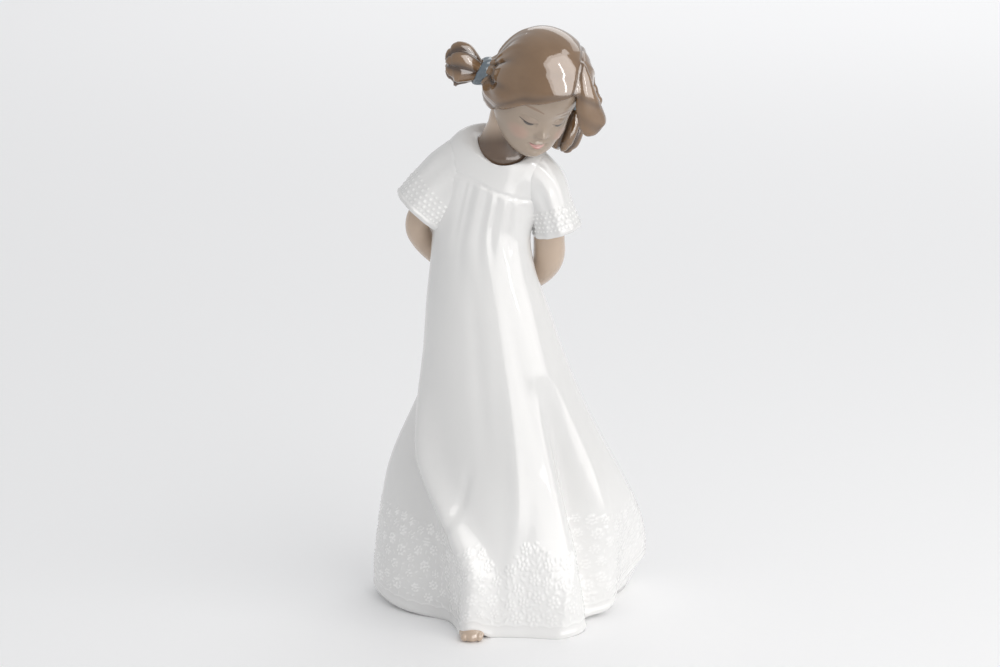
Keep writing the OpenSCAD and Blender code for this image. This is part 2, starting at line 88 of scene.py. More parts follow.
class Sock:
    # wraps a node socket, so that sums on values add their Math nodes
    def __init__(self, shader, socket):
        self.shader = shader
        self.socket = socket

    def math(self, operation, *others):
        return self.shader.node("ShaderNodeMath", {"operation": operation}, [self, *others])

    def __add__(self, o): return self.math("ADD", o)
    __radd__ = __add__
    def __sub__(self, o): return self.math("SUBTRACT", o)
    def __rsub__(self, o): return self.shader.node("ShaderNodeMath", {"operation": "SUBTRACT"}, [o, self])
    def __mul__(self, o): return self.math("MULTIPLY", o)
    __rmul__ = __mul__
    def __truediv__(self, o): return self.math("DIVIDE", o)
    def __rtruediv__(self, o): return self.shader.node("ShaderNodeMath", {"operation": "DIVIDE"}, [o, self])
    def __pow__(self, o): return self.math("POWER", o)
    def least(self, o): return self.math("MINIMUM", o)
    def size(self): return self.math("ABSOLUTE")

    def step(self, low, high):
        # smooth rise from 0 at low to 1 at high
        smooth = {"interpolation_type": "SMOOTHSTEP", "clamp": True}
        ends = {"Value": self, "From Min": low, "From Max": high, "To Min": 0.0, "To Max": 1.0}
        return self.shader.node("ShaderNodeMapRange", smooth, ends)


class Shader:
    def __init__(self, name):
        self.material = bpy.data.materials.new(name)
        self.material.use_nodes = True
        self.tree = self.material.node_tree
        self.tree.nodes.clear()
        self.out = self.tree.nodes.new("ShaderNodeOutputMaterial")

    def node(self, kind, settings=None, inputs=None, output=0):
        made = self.tree.nodes.new(kind)
        for key, value in (settings or {}).items():
            setattr(made, key, value)
        pairs = inputs.items() if isinstance(inputs, dict) else enumerate(inputs or [])
        for key, value in pairs:
            self.feed(made.inputs[key], value)
        return Sock(self, made.outputs[output])

    def feed(self, socket, value):
        # a socket takes another node's output, or a value that stays
        if isinstance(value, Sock):
            self.tree.links.new(value.socket, socket)
        elif isinstance(value, tuple) and socket.type == "RGBA":
            socket.default_value = (*value, 1)
        else:
            socket.default_value = value

    def objectPlace(self):
        return self.node("ShaderNodeTexCoord", output=3)

    def split(self, vector):
        made = self.tree.nodes.new("ShaderNodeSeparateXYZ")
        self.tree.links.new(vector.socket, made.inputs[0])
        return [Sock(self, o) for o in made.outputs]

    def noise(self, vector, scale, detail=3.0, rough=0.5):
        return self.node("ShaderNodeTexNoise", None,
                         {"Vector": vector, "Scale": scale, "Detail": detail, "Roughness": rough})

    def mix(self, share, a, b):
        # colour a turning into colour b as share goes from 0 to 1
        return self.node("ShaderNodeMix", {"data_type": "RGBA"}, {0: share, 6: a, 7: b}, 2)

    def bump(self, height, strength, distance):
        parts = {"Height": height, "Strength": strength, "Distance": distance}
        return self.node("ShaderNodeBump", None, parts)

    def attribute(self, name, output=2):
        return self.node("ShaderNodeAttribute", {"attribute_name": name}, None, output)

    def surface(self, **values):
        made = self.tree.nodes.new("ShaderNodeBsdfPrincipled")
        for key, value in values.items():
            self.feed(made.inputs[key.replace("_", " ")], value)
        self.tree.links.new(made.outputs[0], self.out.inputs[0])
        return self.material


def fired(s, place, colour, wave, smoothest, **finish):
    # a fired glaze over a colour: faint waves, and a gloss that isn't quite even
    slow = s.noise(place, 55.0, 2.0)
    fine = s.noise(place, 420.0, 2.0)
    normal = s.bump(slow + fine * 0.07, 1.0, wave)
    rough = s.noise(place, 90.0, 2.0) * 0.06 + smoothest
    return s.surface(Base_Color=colour, Roughness=rough, Normal=normal, **finish)


def whiteGlaze():
    s = Shader("whiteGlaze")
    place = s.objectPlace()
    patch = s.noise(place, 16.0, 3.0).step(0.3, 0.75)
    colour = s.mix(patch, (0.745, 0.742, 0.734), (0.775, 0.77, 0.76))
    x, y, z = s.split(place)
    # painted light: the lower front and right of the gown are painted brighter, where more light falls on
    # them
    low = (1.0 - z.step(0.02, 0.085)) * (x - y).step(-0.01, 0.035)
    colour = s.mix(low * 0.8, colour, (0.88, 0.875, 0.865))
    lace = s.attribute("relief")
    colour = s.mix(lace.step(0.25, 0.95) * 0.8, colour, (0.95, 0.945, 0.935))
    # painted shade: the inside of the collar is painted dark brown
    colour = s.mix(s.attribute("paintedShade"), colour, (0.15, 0.095, 0.062))
    return fired(s, place, colour, 0.00012, 0.08, IOR=1.45, Specular_IOR_Level=0.4,
                 Coat_Weight=0.2, Coat_Roughness=0.04)


def skinGlaze():
    s = Shader("skinGlaze")
    place = s.objectPlace()
    patch = s.noise(place, 40.0, 3.0).step(0.3, 0.75)
    colour = s.mix(patch, (0.52, 0.40, 0.305), (0.57, 0.445, 0.345))
    # painted shade: the neck darkens to brown down towards the collar
    colour = s.mix(s.attribute("paintedShade") , colour, (0.13, 0.082, 0.053))
    return fired(s, place, colour, 0.00006, 0.09, IOR=1.5, Coat_Weight=0.6, Coat_Roughness=0.04)


def faceGlaze():
    # painted brows, lash lines, lips and cheeks, placed in the head's own frame in millimetres
    s = Shader("faceGlaze")
    place = s.objectPlace()
    x, y, z = s.split(s.attribute("facePlace", 1))
    front = (y * -1.0).step(6.0, 11.0)
    across = x.size()
    patch = s.noise(place, 40.0, 3.0).step(0.3, 0.75)
    colour = s.mix(patch, (0.375, 0.30, 0.235), (0.415, 0.33, 0.26))
    # painted shade: the top of the face is painted darker up towards the fringe, less at the sides
    colour = s.mix((z - across * 0.2).step(-1.0, 9.0) * 0.45, colour, (0.22, 0.165, 0.12))
    cheek = ((across - 10.0) * 0.2) ** 2.0 + ((z + 12.5) * 0.22) ** 2.0
    colour = s.mix((1.0 - cheek.step(0.0, 1.0)) * front * 0.4, colour, (0.56, 0.34, 0.275))
    gap = across - 7.3
    lashLine = z - (gap * gap * 0.055 - 6.6)
    thin = 0.55 - gap * gap * 0.028
    lash = (1.0 - lashLine.size().step(thin * 0.45, thin + 0.05)) * (1.0 - gap.size().step(3.6, 4.3)) * front
    shadow = (1.0 - (lashLine - 0.9).size().step(0.0, 1.5)) * (1.0 - gap.size().step(2.4, 4.4)) * front
    colour = s.mix(shadow * 0.3, colour, (0.30, 0.22, 0.18))
    eye = (1.0 - ((gap * 0.42) ** 2.0 + ((lashLine + 0.55) * 1.5) ** 2.0).step(0.55, 1.0)) * front
    colour = s.mix(eye * 0.8, colour, (0.06, 0.065, 0.07))
    colour = s.mix(lash * 0.9, colour, (0.05, 0.04, 0.035))
    brow = z - (1.9 - (gap - 0.8) * (gap - 0.8) * 0.045)
    browEdge = 0.8 - gap.size() * 0.09
    brows = (1.0 - brow.size().step(browEdge * 0.4, browEdge + 0.1)) * (1.0 - gap.size().step(4.0, 4.8))
    brows = brows * front
    colour = s.mix(brows * 0.6, colour, (0.24, 0.15, 0.095))
    lipLine = z - (x * x * 0.03 - 17.9)
    upper = lipLine.step(-0.1, 0.1) * (1.0 - (lipLine - (1.25 - across * 0.26)).step(-0.25, 0.25))
    lower = (1.0 - lipLine.step(-0.1, 0.1)) * (lipLine + (1.55 - across * across * 0.1)).step(-0.25, 0.25)
    lips = (upper + lower).least(1.0) * (1.0 - across.step(3.6, 4.3)) * front
    colour = s.mix(lips * 0.7, colour, (0.60, 0.27, 0.25))
    seam = (1.0 - lipLine.size().step(0.1, 0.35)) * (1.0 - across.step(3.4, 4.4)) * front
    colour = s.mix(seam * 0.6, colour, (0.28, 0.10, 0.09))
    return fired(s, place, colour, 0.00005, 0.14, IOR=1.45, Coat_Weight=0.3, Coat_Roughness=0.06)


def hairGlaze():
    s = Shader("hairGlaze")
    place = s.objectPlace()
    groove = s.attribute("groove")
    patch = s.noise(place, 60.0, 4.0).step(0.3, 0.75)
    colour = s.mix(patch, (0.192, 0.108, 0.05), (0.235, 0.14, 0.072))
    # darker where the groove attribute says: glaze pooled in the combed grooves, the parting and the sweep,
    # and painted shade along the roll, in the pocket and along the fringe's lower edge; on the ponytails
    # darker between the crests of their lobes
    colour = s.mix(groove, colour, (0.07, 0.037, 0.019))
    slow = s.noise(place, 70.0, 1.0)
    rough = s.noise(place, 90.0, 2.0) * 0.05 + 0.06
    return s.surface(Base_Color=colour, Roughness=rough, Normal=s.bump(slow, 1.0, 0.00012), IOR=1.55,
                     Coat_Weight=0.8, Coat_IOR=1.55, Coat_Roughness=0.03)


def tieGlaze():
    s = Shader("tieGlaze")
    place = s.objectPlace()
    patch = s.noise(place, 120.0, 4.0).step(0.3, 0.75)
    colour = s.mix(patch, (0.10, 0.135, 0.165), (0.18, 0.225, 0.26))
    return fired(s, place, colour, 0.00006, 0.09, IOR=1.55, Coat_Weight=0.8, Coat_Roughness=0.04)


def bareClay():
    s = Shader("bareClay")
    place = s.objectPlace()
    grain = s.noise(place, 900.0, 5.0)
    speck = s.noise(place, 260.0, 4.0).step(0.64, 0.72)
    colour = s.mix(grain, (0.70, 0.67, 0.62), (0.80, 0.78, 0.73))
    colour = s.mix(speck * 0.5, colour, (0.55, 0.50, 0.43))
    normal = s.bump(grain, 0.6, 0.0001)
    return s.surface(Base_Color=colour, Roughness=grain * 0.2 + 0.62, Normal=normal)


def floorPaper(colour):
    s = Shader("floorPaper")
    place = s.objectPlace()
    grain = s.noise(place, 300.0, 3.0)
    shade = s.mix(grain, tuple(c * 0.985 for c in colour), colour)
    normal = s.bump(grain, 0.1, 0.0001)
    return s.surface(Base_Color=shade, Roughness=0.75, Normal=normal, Specular_IOR_Level=0.25)


glazes = {"white": whiteGlaze(), "skin": skinGlaze(), "face": faceGlaze(),
          "hair": hairGlaze(), "tie": tieGlaze(), "bare": bareClay()}
print("materials made")

def makeFloor():
    bm = bmesh.new()
    bmesh.ops.create_grid(bm, x_segments=2, y_segments=2, size=4.0)
    mesh = bpy.data.meshes.new("floor")
    bm.to_mesh(mesh)
    bm.free()
    floor = bpy.data.objects.new("floor", mesh)
    scene.collection.objects.link(floor)
    mesh.materials.append(floorPaper(studio["floorColour"]))

makeFloor()

def smoothRows(rows, keys):
    # every column of a table but the first, smoothly between its rows at each key
    rows = np.array(rows, float)
    k = np.clip(np.atleast_1d(np.array(keys, float)), rows[0, 0], rows[-1, 0])
    x = rows[:, 0]
    slope = np.zeros_like(rows[:, 1:])
    slope[0] = (rows[1, 1:] - rows[0, 1:]) / (x[1] - x[0])
    slope[-1] = (rows[-1, 1:] - rows[-2, 1:]) / (x[-1] - x[-2])
    slope[1:-1] = (rows[2:, 1:] - rows[:-2, 1:]) / (x[2:] - x[:-2])[:, None]
    i = np.clip(np.searchsorted(x, k, side="right") - 1, 0, len(x) - 2)
    h = (x[i + 1] - x[i])[:, None]
    t = (k - x[i])[:, None] / h
    return ((2 * t**3 - 3 * t**2 + 1) * rows[i, 1:] + (t**3 - 2 * t**2 + t) * slope[i] * h
            + (3 * t**2 - 2 * t**3) * rows[i + 1, 1:] + (t**3 - t**2) * slope[i + 1] * h)

def turned(roll=0, pitch=0, yaw=0):
    return np.array(Matrix.Rotation(math.radians(roll), 3, "Y") @ Matrix.Rotation(math.radians(pitch), 3, "X")
                    @ Matrix.Rotation(math.radians(yaw), 3, "Z"))

def loft(rings):
    # a tube drawn up ring by ring from a circle; a ring with all its points together closes to a pole
    n = len(rings[0])
    bm = bmesh.new()
    column = bm.verts.layers.int.new("column")
    level = bm.verts.layers.int.new("ring")
    bmesh.ops.create_circle(bm, segments=n, radius=1.0)
    bm.verts.ensure_lookup_table()
    for i, v in enumerate(bm.verts):
        v[column] = i
        v.co = rings[0][i] * mm
    edges = bm.edges[:]
    for j, ring in enumerate(rings[1:], 1):
        grown = bmesh.ops.extrude_edge_only(bm, edges=edges)["geom"]
        edges = [g for g in grown if isinstance(g, bmesh.types.BMEdge)]
        for v in (g for g in grown if isinstance(g, bmesh.types.BMVert)):
            v.co = ring[v[column]] * mm
            v[level] = j
    bmesh.ops.remove_doubles(bm, verts=bm.verts, dist=1e-7)
    bmesh.ops.recalc_face_normals(bm, faces=bm.faces)
    return bm

def pole(ring):
    return np.repeat(np.mean(ring, axis=0)[None], len(ring), axis=0)

def piece(bm, name, glaze):
    mesh = bpy.data.meshes.new(name)
    bm.to_mesh(mesh)
    bm.free()
    obj = bpy.data.objects.new(name, mesh)
    scene.collection.objects.link(obj)
    mesh.materials.append(glazes[glaze])
    mesh.shade_smooth()
    return obj

def settle(obj, slot, *nodes):
    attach(obj, "root")
    if nodes:
        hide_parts(*nodes)

def coords(mesh):
    co = np.empty(len(mesh.vertices) * 3, np.float32)
    mesh.vertices.foreach_get("co", co)
    return co.reshape(-1, 3).astype(float)

def setCoords(mesh, co):
    mesh.vertices.foreach_set("co", co.astype(np.float32).ravel())
    mesh.update()

def normalsOf(mesh):
    out = np.empty(len(mesh.vertices) * 3, np.float32)
    mesh.vertices.foreach_get("normal", out)
    return out.reshape(-1, 3).astype(float)

def paint(mesh, name, values):
    layer = mesh.attributes.new(name, "FLOAT", "POINT")
    layer.data.foreach_set("value", np.asarray(values, np.float32).ravel())

def rise(x, low, high):
    t = np.clip((x - low) / (high - low), 0, 1)
    return t * t * (3 - 2 * t)

def hill(x, width):
    return np.exp(-(x / width) ** 2)

def spread(n, middle, share):
    # n directions round a ring, closer together round the given one
    even = np.arange(n) * 360 / n
    return even - share * 180 / pi * np.sin(np.radians(even - middle))

def along(start, *legs):
    # stations from a start, each leg given as the place where it ends and its step
    keys, at = [], start
    for end, step in legs:
        count = max(1, round((end - at) / step))
        keys.append(at + (end - at) * np.arange(count) / count)
        at = end
    return np.append(np.concatenate(keys), at)

def layer(mesh, name):
    out = np.empty(len(mesh.vertices), np.int32)
    mesh.attributes[name].data.foreach_get("value", out)
    return out

def pressed(u, h, period, marks):
    # height field of domed marks on a grid of places round (u) and up (h)
    out = np.zeros((len(h), len(u)))
    for mu, mh, ra, rb, turn, swell in marks:
        reach = max(ra, rb)
        gap = (u - mu + period / 2) % period - period / 2
        i = np.nonzero(np.abs(h - mh) < reach)[0]
        j = np.nonzero(np.abs(gap) < reach)[0]
        if len(i) and len(j):
            x, y = gap[j][None], (h[i] - mh)[:, None]
            c, s = math.cos(turn), math.sin(turn)
            oval = ((x * c + y * s) / ra) ** 2 + ((y * c - x * s) / rb) ** 2
            dome = swell * np.sqrt(np.clip(1 - oval, 0, 1))
            out[np.ix_(i, j)] = np.maximum(out[np.ix_(i, j)], dome)
    return out

def scattered(rng, tries, period, low, top, radii, apart, kept=()):
    # places thrown at random, dropped where they would crowd an earlier one
    kept = list(kept)
    first = len(kept)
    for _ in range(tries):
        u, h, r = rng.uniform(0, period), rng.uniform(low, 70), rng.uniform(*radii)
        if h > top(u) - r:
            continue
        near = np.array(kept) if kept else np.zeros((0, 3))
        gap = (near[:, 0] - u + period / 2) % period - period / 2
        if not len(near) or np.all(np.hypot(gap, near[:, 1] - h) > near[:, 2] + r + apart):
            kept.append((u, h, r))
    return kept[first:]

gown = {
    "columns": 460,
    # station, height, centre x, centre y, half width, half depth, roll, pitch
    "body": [
        [0, 0, 1, 3, 60, 42, 0, 0], [12, 12, 1, 3, 60, 42, 0, 0], [35, 35, 0, 3, 55.5, 40, 0, 0],
        [60, 60, -2, 3, 48.5, 36, 0, 0], [80, 80, -4.5, 3, 42, 32, 0, 0], [100, 100, -7, 2.5, 36.5, 28, 0, 0],
        [125, 125, -10, 1.5, 31.5, 24.5, 0, 0], [150, 150, -12.5, 1, 27.2, 21, 0, 0],
        [165, 165, -14, 1.5, 24, 18.3, 2, 0], [180, 180, -14.3, 2, 22.3, 16, 5, 1],
        [193, 193, -12, 2.5, 22.3, 15.3, 8, 4], [204, 203.5, -9.5, 2.8, 22.3, 15, 11, 11],
        [213, 212.7, -7.3, 2.8, 22.3, 14.4, 13, 17], [220, 219.4, -6, 2.6, 20.8, 14, 13, 22],
        [225, 222, -5.2, 2.5, 18.3, 13.6, 13, 24], [229, 222.2, -4.6, 2.3, 15, 12.9, 12, 25],
        [232, 220.4, -4, 2, 12, 12.2, 11, 25]],
    # folds: station, direction, height, angular width
    "folds": [
        [[0, 243, 7, 9], [15, 245, 7, 9], [30, 245, 6.5, 9], [48, 234, 6, 9], [62, 222, 5.5, 9],
         [72, 212, 5, 10], [82, 204, 4.5, 11], [100, 196, 3, 13], [125, 186, 0, 16]],
        [[0, 211, -14, 21], [25, 209, -12, 19], [48, 204, -10, 17], [66, 195, -8, 14], [80, 184, -6, 12],
         [105, 176, -2, 11], [122, 174, 0, 12]],
        [[0, 158, 13, 19], [30, 158, 14, 19], [60, 159, 14.5, 18], [75, 159, 12.5, 17], [90, 160, 8, 16],
         [105, 161, 3, 16], [118, 161, 0, 16]],
        [[0, 31, 18, 15], [20, 30, 18, 15], [45, 24, 13, 17], [75, 16, 7, 18], [110, 8, 3, 20],
         [150, 0, 0, 20]],
        [[0, -6, -12, 20], [20, -6, -9, 20], [45, -8, -3, 20], [75, -10, 0, 20]],
        [[0, -33, -11, 11], [30, -33, -13, 12], [60, -34, -11, 12], [90, -36, -5, 12], [118, -40, 0, 12]],
        [[0, -64, 4, 14], [20, -64, 3, 14], [45, -64, 0, 14]],
        [[0, 62, 3.5, 13], [60, 64, 3, 14], [120, 70, 1, 14], [145, 74, 0, 14]],
        [[0, 80, -5, 10], [60, 82, -3, 11], [120, 84, -1, 12], [145, 86, 0, 12]],
        [[0, 99, 3.5, 12], [60, 98, 3.5, 13], [120, 96, 1, 14], [145, 95, 0, 14]],
        [[0, 118, -5, 10], [60, 116, -3, 11], [120, 112, -1, 12], [145, 108, 0, 12]],
        [[0, 136, 3, 11], [60, 134, 3, 12], [120, 128, 1, 12], [145, 124, 0, 12]]],
    # finer folds and creases, in the same form
    "creases": [
        [[42, -133, 0, 3], [50, -129, -0.8, 3], [60, -124, -0.8, 3.2], [70, -120, -0.5, 3.6],
         [82, -117, 0, 4]],
        [[0, -33, -0.6, 9], [20, -34, -2.0, 10], [60, -36, -1.4, 11], [88, -38, -0.3, 12], [105, -40, 0, 12]],
        [[0, -96, 0, 6], [30, -92, 0.7, 5], [60, -84, 0.9, 6], [95, -78, 0.6, 8], [125, -76, 0, 8]],
        [[0, -66, 0.8, 4], [18, -60, 1.2, 4], [34, -50, 1.0, 4], [48, -42, 0, 5]],
        [[60, -60, 0, 6], [85, -58, -0.8, 7], [120, -60, -0.8, 8], [160, -64, 0, 8]],
        [[70, -104, 0, 8], [100, -104, -0.5, 8], [140, -104, -0.5, 9], [165, -104, 0, 9]]],
    # lift of the hem off the ground: direction, height
    "hem": [[-180, 3], [-165, 1], [-150, 0], [-124, 0], [-114, 4], [-104, 0], [-60, 0], [-35, 1], [-18, 4],
            [0, 9], [20, 14], [35, 15], [50, 11], [75, 3], [100, 0], [130, 1], [160, 5], [180, 3]],
    "hemFade": 60, "middle": (1, 3), "footShare": 0.86, "seatShare": 0.745, "slab": 4.1,
    # seam under the yoke: direction, station
    "seam": [[-180, 206], [-150, 209], [-130, 209.5], [-110, 208.6], [-90, 206.6], [-60, 204.5], [-35, 203],
             [0, 203], [60, 205], [180, 206]],
    # gathers under the seam: direction there, direction below, height, width, where they run out
    "gathers": [
        (-142, -142, 0.3, 5, 166), (-132, -132, -0.45, 4, 158), (-122, -123, -0.6, 6, 146),
        (-110, -108, 0.45, 6, 158), (-97, -91, -0.55, 6, 148), (-87, -80, 0.4, 4, 166),
        (-78, -70, -0.4, 6, 158), (-66, -56, 0.3, 5, 168), (-55, -45, -0.4, 4.5, 166),
        (-46, -36, 0.3, 5, 172), (44, 40, 0.5, 6, 160), (56, 54, -0.5, 5, 158), (68, 68, 0.5, 6, 150),
        (82, 83, -0.6, 6, 150), (97, 98, 0.5, 6, 152), (112, 113, -0.6, 6, 154), (125, 128, 0.5, 6, 158),
        (138, 142, -0.5, 5, 162)],
    # upper edge of the lace: direction, height
    "lace": [[-180, 50], [-160, 47], [-140, 44], [-124, 40], [-112, 44], [-98, 33], [-84, 43], [-74, 46],
             [-62, 38], [-50, 44], [-36, 52], [-20, 50], [0, 47], [20, 52], [40, 47], [70, 42], [95, 47],
             [120, 42], [145, 48], [180, 50]],
    "border": 6.5,
    # direction in which the neckline dips, and the roll of its edge: share of its width, height over it
    "scoop": -96,
    "collarEdge": [(0.985, 0.2), (0.96, 0.28), (0.935, 0.15), (0.915, -0.25), (0.9, -1.2), (0.89, -3),
                   (0.88, -6)],
}

def turnGap(a, b):
    return (a - b + 540) % 360 - 180

def foldHeights(folds, k, a):
    total = 0
    for fold in folds:
        f = smoothRows(fold, k)  # direction, height, angular width
        total = total + f[:, 1:2] * hill(turnGap(a[None], f[:, 0:1]), f[:, 2:3])
    return total

def gownPoints(k, a, extra=0.0):
    k = np.atleast_1d(np.array(k, float))
    b = smoothRows(gown["body"], k)  # height, centre x, centre y, half width, half depth, roll, pitch
    rad = np.radians(a)[None]
    r = 1 / np.sqrt((np.cos(rad) / b[:, 3:4]) ** 2 + (np.sin(rad) / b[:, 4:5]) ** 2)
    r = r + foldHeights(gown["folds"], k, a) + extra
    x = r * np.cos(rad)
    y = r * np.sin(rad)
    out = np.empty((len(k), len(a), 3))
    for i in range(len(k)):
        flat = np.stack([x[i], y[i], np.zeros_like(x[i])], 1)
        out[i] = flat @ turned(b[i, 5], b[i, 6]).T + [b[i, 1], b[i, 2], b[i, 0]]
    out[:, :, 2] -= 3.4 * rise(k, 204, 219)[:, None] * hill(turnGap(a, gown["scoop"]), 46)[None]
    lift = np.maximum(0, smoothRows(gown["hem"], turnGap(a, 0))[:, 0])
    fade = np.clip(1 - k / gown["hemFade"], 0, 1) ** 1.5
    out[:, :, 2] += lift[None] * fade[:, None]
    return out

def sewnDetail(k, a):
    # hem lip, creases, the seam under the yoke and the gathers below it
    down = smoothRows(gown["seam"], turnGap(a, 0))[:, 0][None] - k[:, None]
    out = 0.8 * hill(k - 1.7, 1.5)[:, None] + foldHeights(gown["creases"], k, a)
    out = out - 0.4 * hill(down, 0.6) + 0.36 * rise(down, 0.4, 2.2) * (1 - rise(down, 5, 20))
    for top, low, height, width, last in gown["gathers"]:
        span = 206 - last
        way = np.clip(down / span, 0, 1)
        fade = rise(down, 0.3, 3.5) * (1 - rise(down, span * 0.45, span))
        off = turnGap(a[None], top + (low - top) * way)
        out = out + 0.65 * height * fade * hill(off, width * (0.75 + 0.6 * way))
    return out

def laceMarks(u, a, period):
    # flowers with round petals, leaves between them and small berries in the gaps
    rng = np.random.RandomState(7)
    order = np.argsort(u)
    edge = smoothRows(gown["lace"], turnGap(a, 0))[:, 0][order]
    def top(x):
        return np.interp(x, u[order], edge)
    flowers = scattered(rng, 9000, period, gown["border"] + 2.6, top, (2.3, 3.4), 0.5)
    marks = []
    for mu, mh, r in flowers:
        petals = 7 if r > 2.6 else 6
        start = rng.uniform(0, 2 * pi)
        marks.append((mu, mh, r * 0.3, r * 0.3, 0, 0.42))
        for p in range(petals):
            way = start + p * 2 * pi / petals
            u0, h0 = mu + 0.68 * r * math.cos(way), mh + 0.68 * r * math.sin(way)
            marks.append((u0, h0, r * 0.34, r * 0.27, way, 0.38))
    leaves = scattered(rng, 9000, period, gown["border"] + 1.2, top, (0.95, 1.3), 0.1, flowers)
    for mu, mh, r in leaves:
        marks.append((mu, mh, r * 1.45, r * 0.6, rng.uniform(0, pi), 0.3))
    berries = scattered(rng, 9000, period, gown["border"] + 0.8, top, (0.5, 0.6), 0.5, flowers + leaves)
    for mu, mh, r in berries:
        marks.append((mu, mh, r, r, 0, 0.22))
    return marks

def makeGown():
    a = spread(gown["columns"], 270, 0.34)
    k = along(0.0, (52, 0.62), (110, 2.3), (168, 2.7), (214, 1.0), (232, 0.85))
    ring = gownPoints([14], a)[0]
    u = np.concatenate([[0], np.cumsum(np.linalg.norm(np.diff(ring, axis=0), axis=1))])
    period = u[-1] + np.linalg.norm(ring[0] - ring[-1])
    marks = laceMarks(u, a, period)
    lace = pressed(u, k, period, marks)
    scallop = gown["border"] - 0.9 + 0.9 * np.abs(np.sin(pi * u / (period / 48)))[None]
    lace = lace + 0.3 * hill(k[:, None] - scallop, 0.55)
    skin = gownPoints(k, a, sewnDetail(k, a) + lace)
    plain = gownPoints([0], a)[0]
    cx, cy = gown["middle"]
    def drawnIn(share, z):
        x, y = cx + (plain[:, 0] - cx) * share, cy + (plain[:, 1] - cy) * share
        return np.stack([x, y, np.zeros(len(a)) + z], 1)
    lift = plain[:, 2]
    seat = gown["seatShare"]
    under = [pole(drawnIn(seat, 18)), drawnIn(seat * 0.5, 18), drawnIn(seat, 18), drawnIn(seat, gown["slab"]),
             drawnIn(seat, 0), drawnIn(gown["footShare"] - 0.01, 0), drawnIn(gown["footShare"], 0.15)]
    for t in (0.25, 0.5, 0.75, 0.92):
        under.append(drawnIn(gown["footShare"] + (0.985 - gown["footShare"]) * t, lift * t))
    rim = []
    collar = skin[-1]
    middle = collar.mean(axis=0)
    up = turned(*gown["body"][-1][6:]) @ np.array([0, 0, 1.0])
    for share, lift in gown["collarEdge"]:
        rim.append(middle + (collar - middle) * share + up * lift)
    rings = under + list(skin) + rim + [pole(rim[-1])]
    bm = loft(rings)
    obj = piece(bm, "gown", "white")
    row = layer(obj.data, "ring") - len(under)
    column = layer(obj.data, "column")
    inside = (row >= 0) & (row < len(k))
    relief = np.where(inside, lace[np.clip(row, 0, len(k) - 1), column] / 0.4, 0)
    paint(obj.data, "relief", relief)
    # painted shade: the rings that roll down into the collar are painted dark
    paint(obj.data, "paintedShade", np.clip((row - len(k) - 1) / 2, 0, 1))
    return obj

gownObj = makeGown()
print("gown", len(gownObj.data.polygons), "faces")

def unit(v):
    return v / np.linalg.norm(v, axis=-1, keepdims=True)

def lockFrames(rows, side, keys):
    # centres, two cross directions and the half sizes along a limb or a lock of hair
    keys = np.atleast_1d(np.array(keys, float))
    r = smoothRows(rows, keys)
    ahead = unit(smoothRows(rows, keys + 0.05)[:, :3] - smoothRows(rows, keys - 0.05)[:, :3])
    side = np.array(side, float)[None]
    w = unit(side - (ahead * side).sum(axis=1, keepdims=True) * ahead)
    return r[:, :3], np.cross(w, ahead), w, r[:, 3], r[:, 4], ahead

def lockRings(rows, side, keys, turns, swell=None, inset=0.0):
    # oval rings along a table of station, x, y, z, half breadth, half thickness
    c, e, w, a, b, _ = lockFrames(rows, side, keys)
    t = np.arange(turns) * 2 * pi / turns
    s = np.ones((len(c), turns)) if swell is None else swell(np.atleast_1d(keys)[:, None], t[None])
    x = (a - inset)[:, None] * s * np.cos(t)
    y = (b - inset)[:, None] * s * np.sin(t)
    return c[:, None] + x[:, :, None] * e[:, None] + y[:, :, None] * w[:, None]

sleeves = {
    "right": {
        # station, x, y, z, half breadth, half thickness
        "rows": [[0, -13, 3.6, 212, 11, 7], [1, -24, 3.2, 207.8, 14.6, 9.6],
                 [2, -34.6, 2.8, 199.6, 13.4, 11.6], [3, -43, 3, 190.6, 12.6, 12.4]],
        "pleats": 9, "phase": 0.4},
    "left": {
        "rows": [[0, 5, 3, 208.5, 10, 9], [1, 12.5, 3, 203.5, 11, 11], [2, 17.2, 3.5, 192.5, 9.8, 11.5],
                 [3, 20.2, 4, 181.4, 11, 11.8]],
        "pleats": 11, "phase": 1.1},
    "edge": 1.8, "turns": 150,
    # rows of beads over the hem: height above it, radius, spacing
    "beads": [(2.9, 0.62, 1.9), (5.0, 0.8, 2.5), (7.3, 0.8, 2.5), (9.6, 0.75, 2.5), (11.8, 0.6, 2.5)],
    # how wide the soft hollow between sleeve and gown is, and the heights where it begins
    "blend": 6.5, "blendFrom": (178, 192),
}

